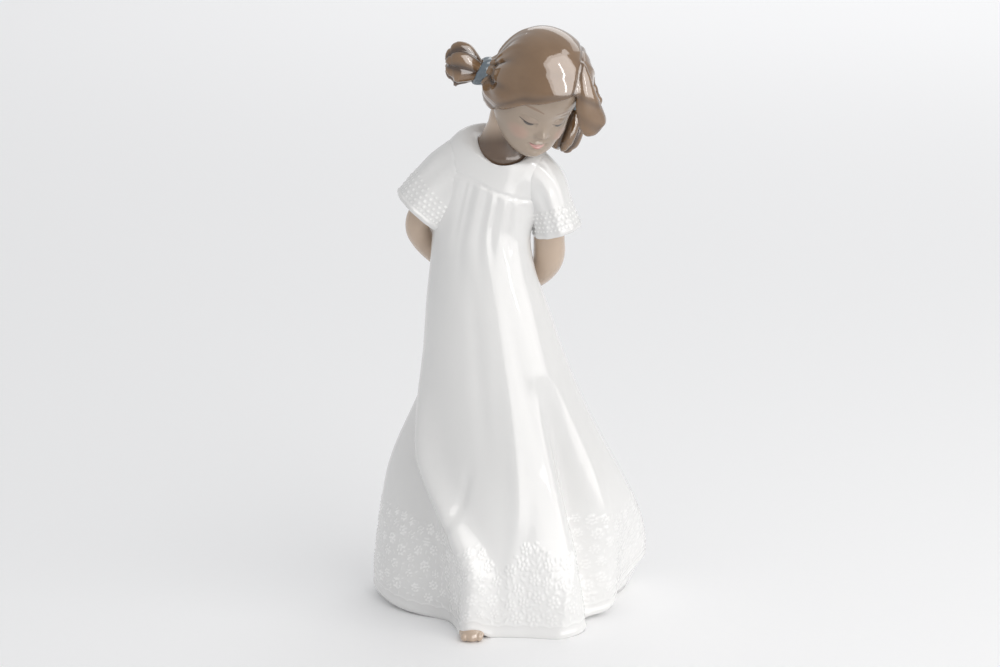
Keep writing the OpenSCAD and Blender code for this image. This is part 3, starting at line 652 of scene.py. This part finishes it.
def makeSleeve(side):
    s = sleeves[side]
    rng = np.random.RandomState(11)
    keys = along(0.0, (1.5, 0.12), (3, 0.035))
    c, _, _, a, b, ahead = lockFrames(s["rows"], (0, 1, 0), keys)
    step = np.linalg.norm(c[-1] - c[-2]) / (keys[-1] - keys[-2])
    period = 2 * pi * math.sqrt(float(a[-1] ** 2 + b[-1] ** 2) / 2)
    u = np.arange(sleeves["turns"]) / sleeves["turns"] * period
    h = (3 - keys) * step  # distance up from the hem of the sleeve
    marks = []
    for row, (up, radius, gap) in enumerate(sleeves["beads"]):
        count = round(period / gap)
        for i in range(count):
            marks.append(((i + 0.5 * (row % 2)) * period / count, up + rng.uniform(-0.15, 0.15),
                          radius, radius, 0, 0.32))
    order = np.argsort(h)
    beads = pressed(u, h[order], period, marks)[np.argsort(order)]
    def swell(k, t):
        pleat = np.sin(s["pleats"] * t + s["phase"]) * 0.02 * rise(k, 0.6, 1.6)
        lip = 0.05 * hill((3 - k) * step - 1.0, 0.9)
        return 1 + pleat + lip
    size = (a + b)[:, None] / 2
    outer = lockRings(s["rows"], (0, 1, 0), keys, sleeves["turns"], lambda k, t: swell(k, t) + beads / size)
    mouth = c[-1]
    edge = outer[-1]
    way = ahead[-1]
    rounded = [mouth + (edge - mouth) * t + way * d for t, d in
               ((0.985, 0.35), (0.95, 0.6), (0.91, 0.6), (0.87, 0.35), (0.85, -0.1))]
    inner = along(2.05, (2.95, 0.1))[::-1]
    hollow = lockRings(s["rows"], (0, 1, 0), inner, sleeves["turns"], None, sleeves["edge"])
    rings = [pole(outer[0])] + list(outer) + rounded + list(hollow) + [pole(hollow[-1])]
    bm = loft(rings)
    obj = piece(bm, side + "_sleeve", "white")
    row = layer(obj.data, "ring") - 1
    inside = (row >= 0) & (row < len(keys))
    relief = beads[np.clip(row, 0, len(keys) - 1), layer(obj.data, "column")] / 0.32
    paint(obj.data, "relief", np.where(inside, relief, 0))
    return obj

arms = {
    "right": [[0, -31, 3.5, 204, 5.6, 5.6], [1, -38.5, 5, 194, 5.9, 5.9], [2, -43.2, 8, 184, 6, 6],
              [3, -41.2, 12.5, 175.5, 5.8, 5.8], [4, -33.5, 19, 166, 5.4, 5.4],
              [5, -23.5, 25.5, 157.5, 4.3, 4.3]],
    "left": [[0, 13.5, 4.5, 200, 6, 6], [1, 15.3, 5, 190, 7, 6.6], [2, 16.4, 7.5, 177, 7.5, 7.2],
             [3, 15.8, 12.8, 165, 7.1, 7], [4, 9, 20.6, 155.2, 5.6, 5.6], [5, 0, 26.5, 150.5, 4.3, 4.3]],
}

def makeArm(side):
    def muscle(k, t):
        return 1 + 0.03 * hill(k - 3.9, 0.6) - 0.03 * hill(k - 4.8, 0.3) + 0.02 * hill(k - 2.6, 0.3)
    rings = lockRings(arms[side], (1, 0, 0), along(0.0, (5, 0.1)), 64, muscle)
    return piece(loft([pole(rings[0])] + list(rings) + [pole(rings[-1])]), side + "_arm", "skin")

def treeOf(obj):
    bm = bmesh.new()
    bm.from_mesh(obj.data)
    tree = BVHTree.FromBMesh(bm)
    bm.free()
    return tree

def filletLift(obj, tree, reach):
    # how far each point moves out so that two surfaces which cross meet in a soft hollow
    co = coords(obj.data)
    out = np.zeros(len(co))
    low, high = (h * mm for h in sleeves["blendFrom"])
    for i in np.flatnonzero(co[:, 2] > low):
        hit, _, _, far = tree.find_nearest(co[i], reach)
        if hit is not None:
            out[i] = (reach - far) ** 2 / (4 * reach)
    return out * rise(co[:, 2], low, high)

def blended(one, two, reach):
    lifts = filletLift(one, treeOf(two), reach), filletLift(two, treeOf(one), reach)
    for obj, lift in zip((one, two), lifts):
        setCoords(obj.data, coords(obj.data) + normalsOf(obj.data) * lift[:, None])

for side in ("right", "left"):
    sleeve = makeSleeve(side)
    blended(gownObj, sleeve, sleeves["blend"] * mm)
    settle(sleeve, "white_glaze", side + "_sleeve")
    settle(makeArm(side), "skin_glaze", side + "_arm")
settle(gownObj, "white_glaze", "gown")
print("sleeves and arms")

def ball(bm, place, radius, stretch=(1, 1, 1), detail=3):
    spot = Matrix.Translation(Vector(place)) @ Matrix.Diagonal((*stretch, 1))
    return bmesh.ops.create_icosphere(bm, subdivisions=detail, radius=radius, matrix=spot)["verts"]

def rod(bm, joints):
    # rounded lengths through a chain of places, each with its radius
    for place, radius in joints:
        ball(bm, place, radius, detail=2)
    for (a, ra), (b, rb) in zip(joints, joints[1:]):
        way = Vector(b) - Vector(a)
        turn = way.to_track_quat("Z", "Y").to_matrix().to_4x4()
        spot = Matrix.Translation((Vector(a) + Vector(b)) / 2) @ turn
        bmesh.ops.create_cone(bm, segments=20, cap_ends=True, radius1=ra, radius2=rb,
                              depth=way.length, matrix=spot)

def remeshed(obj, voxel, rounds=2):
    # one closed skin over overlapping solids, then smoothed
    grid = obj.modifiers.new("grid", "REMESH")
    grid.mode = "VOXEL"
    grid.voxel_size = voxel * mm
    grid.use_smooth_shade = True
    soft = obj.modifiers.new("soft", "SMOOTH")
    soft.factor = 0.5
    soft.iterations = rounds
    evaluated = obj.evaluated_get(bpy.context.evaluated_depsgraph_get())
    mesh = bpy.data.meshes.new_from_object(evaluated)
    obj.modifiers.clear()
    old = obj.data
    name = old.name
    obj.data = mesh
    bpy.data.meshes.remove(old)
    mesh.name = name
    return obj

hands = {
    "palm": 8.5, "breadth": 8, "wrist": 3.9, "finger": 1.35, "length": 3.6,
    "right": {"at": (-23, 26, 157), "turn": ((35, "Y"), (-72, "X"), (-12, "Y")), "curl": 25},
    "left": {"at": (-0.5, 26.8, 150.2), "turn": ((22, "Y"), (180, "Z"), (98, "X"), (6, "Y")), "curl": 12},
}

def makeHand(side):
    p, s = hands, hands[side]
    bm = bmesh.new()
    curl = math.radians(s["curl"])
    ball(bm, (4.4, 0, 0), 1.0, (6.2, p["breadth"] / 2, 2.3))
    for i in range(4):
        y = (i - 1.5) * p["breadth"] / 4
        bone = p["length"] - 0.5 * abs(i - 1.3)
        rod(bm, [((0, y * 0.6, 0), p["wrist"] * 0.6), ((p["palm"], y, 0), p["finger"] + 0.25),
                 ((p["palm"] + bone, y, -bone * math.sin(curl / 2)), p["finger"]),
                 ((p["palm"] + 1.8 * bone, y, -2.2 * bone * math.sin(curl)), p["finger"] - 0.2)])
    rim = p["breadth"] / 2
    rod(bm, [((2, rim - 1, -0.8), 1.9), ((5, rim + 2, -1.8), 1.6), ((8, rim + 2.2, -2.4), 1.3)])  # the thumb
    ball(bm, (0, 0, 0), p["wrist"] * 0.95)
    spot = Matrix.Translation(s["at"])
    for angle, axis in s["turn"]:
        spot = spot @ Matrix.Rotation(math.radians(angle), 4, axis)
    bmesh.ops.transform(bm, matrix=Matrix.Scale(mm, 4) @ spot, verts=bm.verts)
    return remeshed(piece(bm, side + "_hand", "skin"), 0.34, 3)

for side in ("right", "left"):
    settle(makeHand(side), "skin_glaze", side + "_hand")

toes = {"at": (-18.9, -38.6, 2.2), "size": (5.9, 7.6, 3.5)}

def makeToes():
    x, y, z = toes["at"]
    bm = bmesh.new()
    ball(bm, (x, y, z), 1.0, toes["size"], 4)
    for i in (-1, 0, 1):
        ball(bm, (x + 3.3 * i, y - 5.6 + 0.7 * abs(i), z - 0.1), 1.0, (1.9, 2.3, 2.0))
    whole = bm.verts[:] + bm.edges[:] + bm.faces[:]
    bmesh.ops.bisect_plane(bm, geom=whole, plane_co=(0, 0, 0.12), plane_no=(0, 0, -1), clear_outer=True)
    bmesh.ops.holes_fill(bm, edges=[e for e in bm.edges if e.is_boundary])
    bmesh.ops.transform(bm, matrix=Matrix.Scale(mm, 4), verts=bm.verts)
    return remeshed(piece(bm, "toe_cap", "skin"), 0.3, 2)

settle(makeToes(), "skin_glaze", "toe_cap")
print("hands and toes")

neck = {
    # station, height, centre x, centre y, half width, half depth, roll, pitch
    "rows": [[-1, 217, -5.1, 2.6, 12.2, 11.5, 11, 25], [0, 220.2, -4.9, 2, 12.1, 11.5, 11, 25],
             [1, 222.2, -4.4, 1.4, 11, 10.7, 12, 24], [2, 225.6, -3.9, 0.6, 9.8, 9.8, 13, 22],
             [3, 229.6, -3, 0, 8.8, 9, 16, 18], [4, 234.5, -2, -0.8, 8.6, 8.8, 20, 14],
             [5, 240.5, 0.6, -1.2, 8.8, 9, 22, 12]],
}

def makeNeck():
    keys = along(-1.0, (5, 0.12))
    b = smoothRows(neck["rows"], keys)
    t = np.arange(96) * 2 * pi / 96
    rings = []
    for height, cx, cy, wide, deep, roll, pitch in b:
        flat = np.stack([wide * np.cos(t), deep * np.sin(t), 0 * t], 1)
        rings.append(flat @ turned(roll, pitch).T + [cx, cy, height])
    obj = piece(loft([pole(rings[0])] + rings + [pole(rings[-1])]), "neck", "skin")
    co = coords(obj.data) / mm
    # painted shade: the neck is darker down towards the collar, most at the front
    paint(obj.data, "paintedShade", 1 - rise(co[:, 2] + 0.25 * co[:, 1], 221, 231))
    return obj

settle(makeNeck(), "skin_glaze", "neck")

head = {
    "at": np.array([11, -10, 250.0]), "roll": 20, "pitch": 30, "yaw": 25,
    # height, centre x, centre y, half width, half depth, in the head's own frame
    "rows": [[-27.5, 0, -13.6, 3.8, 3], [-26, 0, -12.2, 7.6, 6.4], [-22.5, 0, -7, 12.6, 13.2],
             [-16, 0, -1.2, 16.4, 18.6], [-8, 0, 0.8, 17.6, 20.6], [0, 0.5, 1.4, 18.4, 21],
             [7, 1.6, 1.8, 17.6, 20.8], [12.6, 2.4, 2.4, 15.2, 18.4], [17, 2.4, 3, 11, 13.4],
             [19.3, 2.4, 3.4, 5.6, 6.8], [20, 2.4, 3.4, 1.5, 1.8]],
    "eye": 7.3, "eyeLine": -5.5,
    # across (both sides), height, width, tallness, push forward
    "features": [
        (0, 7, 12, 7, 0.8), (7.5, 1.0, 5, 2.4, 0.4), (7.3, -4.8, 4.8, 3.6, -1.7),
        (7.3, -5.7, 3.6, 2.7, 1.6), (0, -4.5, 2.6, 4.2, 0.25), (0, -9.4, 1.9, 2.6, 0.9),
        (0, -11.5, 2.0, 1.7, 2.2), (2.1, -12.2, 1.2, 1.1, 0.8), (0, -14.1, 3.6, 1.1, -0.45),
        (0, -15.3, 0.6, 1.1, -0.2), (1.2, -16.8, 1.2, 0.8, 0.45), (0, -16.9, 2.6, 0.9, 0.5),
        (0, -19.0, 2.0, 0.95, 0.95), (0, -21.0, 3.0, 1.0, -0.6), (0, -24.0, 3.6, 2.4, 0.9),
        (10.0, -13.5, 5.2, 5.2, 1.9), (4.0, -17.9, 0.9, 0.9, -0.5)],
}
head["turn"] = turned(head["roll"], head["pitch"], head["yaw"])

def headToWorld(p):
    return head["at"] + p @ head["turn"].T

def worldToHead(p):
    return (p - head["at"]) @ head["turn"]

def makeHead():
    t = np.radians(spread(230, 270, 0.55))
    z = along(-27.5, (-25, 0.35), (3, 0.26), (20, 0.9))
    r = smoothRows(head["rows"], z)
    x = r[:, 0:1] + r[:, 2:3] * np.cos(t)
    y = r[:, 1:2] + r[:, 3:4] * np.sin(t)
    zz = np.repeat(z[:, None], len(t), axis=1)
    front = rise(-np.sin(t), 0.2, 0.6)[None]
    push = np.zeros_like(x)
    for across, height, width, tall, forward in head["features"]:
        share = hill(x - across, width) + (hill(x + across, width) if across else 0)
        push += forward * share * hill(zz - height, tall)
    across = np.abs(x)
    lips = -17.9 + 0.03 * x ** 2
    push += -0.8 * hill(zz - lips, 0.34) * (1 - rise(across, 3.2, 4.6))  # the line between the lips
    gap = across - head["eye"]
    lash = head["eyeLine"] - 1.1 + 0.055 * gap ** 2
    lid = 1 - rise(np.abs(gap), 2.8, 4.2)
    push += -0.5 * lid * (1 - rise(zz, lash - 0.25, lash + 0.1)) * rise(zz, lash - 2.6, lash - 0.9)
    fold = head["eyeLine"] + 1.7 - 0.05 * gap ** 2
    push += -0.3 * lid * hill(zz - fold, 0.35)  # crease over the lid
    push += -0.9 * hill(across - 1.2, 0.55) * hill(zz + 13.3, 0.5)  # nostrils
    rings = np.stack([x, y - push * front, zz], axis=2)
    rings = list(headToWorld(rings))
    obj = piece(loft([pole(rings[0])] + rings + [pole(rings[-1])]), "head", "face")
    mesh = obj.data
    place = worldToHead(coords(mesh) / mm)
    attr = mesh.attributes.new("facePlace", "FLOAT_VECTOR", "POINT")
    attr.data.foreach_set("vector", place.astype(np.float32).ravel())
    return obj

settle(makeHead(), "skin_glaze", "head")
print("neck and head")

hair = {
    "equator": 3.0, "half": (21.6, 23.8), "upper": 19.9, "lower": 35.0,
    # direction round the head, height of the hairline
    "line": [[-180, -14.5], [-169, -13], [-155, -8], [-140, -1.7], [-128, 3.2], [-112, 6.4], [-98, 9],
             [-84, 10.4], [-73, 11], [-55, 9], [-35, 3], [-15, -6], [10, -12], [50, -17], [90, -19],
             [130, -18], [160, -16], [180, -14.5]],
    "side": [[0, 24, -15, 264, 2, 1.6], [1, 28.9, -19.7, 258.5, 3.3, 2.4], [2, 31.2, -21.6, 250, 4.4, 3],
             [3, 32.4, -20.6, 242.5, 5.9, 3.4], [4, 34.3, -18, 236, 6.8, 3.5], [5, 36.2, -16.6, 231.6, 6, 3],
             [6, 37.2, -16.2, 229.7, 3, 1.6]],
    "back": [[0, 27, -3, 261, 1.4, 1.4], [1, 31, -4, 255.5, 3, 2.4], [2, 34.2, -5.4, 249, 3.2, 2.6],
             [3, 36.6, -7, 242.6, 2.8, 2.2], [4, 38, -8, 238, 1.2, 1]],
    # middle of the combed crown, and the places of the ties, in the head's own frame
    "middle": (1.5, 2.4, 1.0), "rightTie": (-19.7, 15.1, -7.1), "leftTie": (22.7, 3.3, -9.5),
    # grooves out of each tie: share of the broad ones, their sway, the fine ones, what stays over the crown
    "rightComb": {"broad": 0.75, "sway": 0.9, "length": 15, "fine": 20, "phase": 1.7, "fineSway": 1.3,
                  "least": 0.1, "fade": (34, 80)},
    "leftComb": {"broad": 0.62, "sway": 0.7, "length": 12, "fine": 21, "phase": 0.9, "fineSway": 0,
                 "least": 0.25, "fade": (30, 80)},
    # soft swellings at the temple: place, stretch, width, height
    "lobes": [((-20.5, -5.2, -0.8), (1, 1.2, 1.05), 6.8, 2.4), ((-19.2, 5.6, -11), (1, 1.15, 1), 6, 2.5)],
    # hair drawn together from the head into each tie: station, x, y, z, half breadth, half thickness
    "rightRoot": [[0, 3, -1.5, 252, 15, 16], [1, -4, -1.6, 253.2, 11.5, 12.5],
                  [2, -9.5, -1.75, 254.2, 7.4, 8], [3, -13.2, -1.9, 254.8, 4.9, 5.2]],
    "leftRoot": [[0, 22, -1, 252, 9, 9], [1, 25, 1.6, 248, 8.6, 8.6], [2, 27.4, 4, 244.4, 6.2, 6.2],
                 [3, 28.4, 5.6, 241.4, 4.8, 4.8]],
    "roll": [(-22.8, 0.2, 8.4), (-21.2, -5.8, 9.6), (-19.5, -10.9, 7.2), (-17, -14.7, 5.7),
             (-14.8, -17, 5.9)],
    "sweep": [(-23.2, 0.7, 6.4), (-19.6, -8.4, 11.5), (-13.9, -14.2, 14.4), (-5.2, -17.5, 17.4),
              (1.8, -18.6, 16.8)],
}

def domePoint(t, z):
    # point of the smooth dome of hair at direction t and height z
    q = hair["equator"]
    deep = np.where(z > q, hair["upper"], hair["lower"])
    flat = np.sqrt(np.clip(1 - ((z - q) / deep) ** 2, 0, 1))
    cx = 3 * rise(z, -13, 11)
    cy = 2.4 + 1.6 * rise(z, 8, 23)
    wide, back = hair["half"]
    return np.stack([cx + wide * flat * np.cos(t), cy + back * flat * np.sin(t), z + 0 * t], axis=-1)

def hairDome():
    turn = np.arange(-180, 180, 1.5)
    t = np.radians(turn)
    low = smoothRows(hair["line"], turn)[:, 0]
    q, up, down = hair["equator"], hair["upper"], hair["lower"]
    end = np.arcsin(np.clip((low - q) / np.where(low > q, up, down), -1, 1))
    rings = []
    for v in np.linspace(0.02, 1, 70):
        phi = pi / 2 + (end - pi / 2) * v
        z = q + np.sin(phi) * np.where(phi > 0, up, down)
        rings.append(domePoint(t, z))
    edge = rings[-1]
    middle = np.array([1.0, 2.4, 0])
    def inward(share, raised):
        out = edge.copy()
        out[:, :2] = middle[:2] + (edge[:, :2] - middle[:2]) * share
        out[:, 2] += raised
        return out
    rolled = ((0.99, -0.9), (0.965, -1.3), (0.93, -1.3), (0.895, -0.8), (0.87, 0.2), (0.84, 1.0), (0.6, 2.0))
    rings += [inward(share, raised) for share, raised in rolled]
    rings = [pole(rings[0])] + rings + [pole(rings[-1])]
    return loft([headToWorld(r) for r in rings])

def strand(name, side, lobes):
    def swell(k, t):
        return 1 + 0.05 * (np.abs(np.cos(lobes * t / 2)) - 0.6)
    rings = lockRings(hair[name], side, along(0.0, (hair[name][-1][0], 0.08)), 64, swell)
    return loft([pole(rings[0])] + list(rings) + [pole(rings[-1])])

def joined(name, glaze, *parts):
    whole = bmesh.new()
    for bm in parts:
        mesh = bpy.data.meshes.new("part")
        bm.to_mesh(mesh)
        bm.free()
        whole.from_mesh(mesh)
        bpy.data.meshes.remove(mesh)
    return piece(whole, name, glaze)

def nearCurve(points, p):
    # distance from each point to a smooth curve, and how far along it the nearest place lies (0 to 1)
    points = np.array(points, float)
    rows = np.column_stack([np.arange(len(points)), points])
    line = smoothRows(rows, np.linspace(0, len(points) - 1, 60))
    best = np.full(len(p), 1e9)
    place = np.zeros(len(p))
    for i, q in enumerate(line):
        d = np.linalg.norm(p - q, axis=1)
        near = d < best
        best[near] = d[near]
        place[near] = i / 59
    return best, place

def aroundTie(p, tie):
    # for each point, its angle round the line from the head's middle out through a tie, and from that line
    axis = unit(np.array(tie, float))
    one = unit(np.cross(axis, (0, 0, 1.0)))
    two = np.cross(axis, one)
    n = unit(p - np.array(hair["middle"]))
    return np.arctan2(n @ two, n @ one), np.degrees(np.arccos(np.clip(n @ axis, -1, 1)))

def combWaves(p, tie, comb):
    # grooves that run out of a tie, deep near it and faint over the crown
    angle, far = aroundTie(p, tie)
    broad = np.sin(9 * angle + comb["sway"] * np.sin(far / comb["length"]))
    fine = np.sin(comb["fine"] * angle + comb["phase"] + comb["fineSway"] * np.sin(far / 12))
    wave = comb["broad"] * broad + (1 - comb["broad"]) * fine
    depth = comb["least"] + (1 - comb["least"]) * (1 - rise(far, *comb["fade"]))
    return rise(far, 9, 22) * depth * np.sign(-wave) * np.abs(wave) ** 1.5

def combed(obj):
    # the combed surface: what lifts or sinks it, and where its colour is painted dark: glaze pooled in the
    # combed grooves, the parting and the sweep, and painted shade along the roll, in the pocket and along the
    # fringe's lower edge
    mesh = obj.data
    world = coords(mesh) / mm
    p = worldToHead(world)
    parting = p[:, 0] - 0.35 * p[:, 1]
    mine = 1 - rise(parting, 12, 17)
    groove = mine * combWaves(p, hair["rightTie"], hair["rightComb"])
    groove += (1 - mine) * combWaves(p, hair["leftTie"], hair["leftComb"])
    lift = -0.75 * groove
    dark = np.clip(groove, 0, 1)
    part = hill(parting - 14.5, 1.1) * rise(p[:, 2], 2, 8)
    far, place = nearCurve(hair["roll"], p)
    roll = hill(far, 0.8) * (0.35 + 0.65 * rise(place, 0.2, 0.8))
    pocket = hill(np.linalg.norm(p - np.array(hair["roll"][-1]), axis=1), 2.2)
    far, place = nearCurve(hair["sweep"], p)
    sweep = hill(far, 1.0) * (1 - rise(place, 0.6, 1.0))
    # each cut sinks the surface and darkens its colour: in the parting and the sweep as glaze pooled there,
    # along the roll and in the pocket as painted shade
    for cut, depth, shade in ((part, 0.5, 0.5), (roll, 1.3, 0.9), (pocket, 0.9, 0.6), (sweep, 0.45, 0.4)):
        lift -= depth * cut
        dark += shade * cut
    for place, stretch, width, height in hair["lobes"]:
        lift += height * hill(np.linalg.norm((p - np.array(place)) / stretch, axis=1), width)
    turn = np.degrees(np.arctan2(p[:, 1] - hair["middle"][1], p[:, 0]))
    over = p[:, 2] - smoothRows(hair["line"], turn)[:, 0]
    dark += 0.55 * hill(over - 0.3, 1.5) * rise(-p[:, 1], 2, 9)  # painted shade along the lower edge of the fringe
    setCoords(mesh, (world + normalsOf(mesh) * lift[:, None]) * mm)
    paint(mesh, "groove", np.clip(dark, 0, 1))

locks = (("side", (0.45, -0.85, 0.1), 6), ("back", (0.9, -0.4, 0), 4),
         ("rightRoot", (0, 1, 0), 9), ("leftRoot", (1, 0, 0), 9))
hairObj = joined("hair", "hair", hairDome(), *(strand(*lock) for lock in locks))
remeshed(hairObj, 0.42, 10)
combed(hairObj)
settle(hairObj, "hair_glaze", "hair_cap", "swept_fringe", "side_lock", "back_lock")
print("hair", len(hairObj.data.polygons), "faces")

tails = {
    "right": {
        "rows": [[0, -7, -1.5, 254, 5.5, 5.5], [1, -12, -1.8, 254.6, 4.5, 4.5],
                 [2, -15.4, -2, 255.2, 5.0, 5.0], [3, -19, -2.2, 256.4, 7.2, 6.4],
                 [4, -23, -2.6, 257.8, 9.0, 7.2], [5, -26, -2.8, 258.2, 8.6, 6.4],
                 [6, -28, -2.9, 258.2, 6.2, 4.6]],
        "side": (0, 1, 0), "phase": 0.3, "lean": 0.34},
    "left": {
        "rows": [[0, 26, 3, 247, 5.5, 5.5], [1, 28.4, 5.6, 241.6, 4.6, 4.6], [2, 28.4, 6.2, 238.6, 5.0, 5.0],
                 [3, 27, 6.2, 234, 6.8, 6.2], [4, 24.6, 5.4, 227.6, 8, 7.2], [5, 22.6, 4.7, 222.4, 7.6, 6.8],
                 [6, 21.6, 4.3, 219.9, 5.8, 5.2]],
        "side": (1, 0, 0), "phase": 1.0, "lean": 0},
    "lobes": 6, "tieStation": 1.35, "tieRadius": 5.3, "tieHalf": 2.9,
    "turns": 120, "step": 0.07,
}

def makeTail(side):
    s = tails[side]
    def lobe(t):
        return np.abs(np.cos(tails["lobes"] * t / 2 + s["phase"])) ** 0.75 - 0.64
    def swell(k, t):
        return 1 + (0.05 + 0.22 * rise(k, 2, 5)) * lobe(t) + 0.05 * np.sin(2 * t + 1) * rise(k, 2, 4)
    turns, step = tails["turns"], tails["step"]
    keys = along(0.0, (6, step))
    rings = list(lockRings(s["rows"], s["side"], keys, turns, swell))
    t = np.arange(turns) * 2 * pi / turns
    end = rings[-1].mean(axis=0)
    way = unit(end - rings[-3].mean(axis=0))
    reach = (1.6 + 1.8 * (lobe(t) + 0.3))[:, None]  # each lobe of the end bulges by itself
    cap = []
    for f in (0.94, 0.82, 0.66, 0.46, 0.26, 0.1):
        bulge = math.sqrt(1 - f ** 2)
        cap.append(end + (rings[-1] - end) * f + way * reach * bulge * (0.4 + 0.6 * min(1, f * 2)))
    obj = piece(loft([pole(rings[0])] + rings + cap + [pole(cap[-1])]), side + "_ponytail", "hair")
    around = layer(obj.data, "column") * 2 * pi / turns
    k = np.clip(layer(obj.data, "ring") - 1, 0, len(keys) - 1) * step
    paint(obj.data, "groove", np.clip(0.6 - lobe(around) * 2, 0, 1) * rise(k, 1.0, 2.5))
    return obj

def makeTie(side):
    s = tails[side]
    c, e, w, _, _, ahead = lockFrames(s["rows"], s["side"], [tails["tieStation"]])
    c, e, w, u = c[0], e[0], w[0], ahead[0]
    t = np.arange(96) * 2 * pi / 96
    rings = []
    for f in np.linspace(0, 2 * pi, 25):
        thick = 1.25 * np.cos(f) * (1 + 0.10 * np.sin(2 * t + 0.6))
        r = tails["tieRadius"] + thick + 0.16 * np.sin(9 * t + 2 * f)
        out = (r * np.cos(t))[:, None] * e + (r * np.sin(t))[:, None] * w
        way = tails["tieHalf"] * np.sin(f) * (1 + 0.08 * np.sin(3 * t)) - s["lean"] * out[:, 2]
        rings.append(c + out + way[:, None] * u)
    return piece(loft(rings), side + "_hair_tie", "tie")

for side in ("right", "left"):
    settle(makeTail(side), "hair_glaze", side + "_ponytail")
    settle(makeTie(side), "tie_glaze", side + "_hair_tie")
print("ponytails and ties")

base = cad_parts["base_plate"]  # the plain slab stays as the frame has it
base.data.materials.clear()
base.data.materials.append(glazes["bare"])
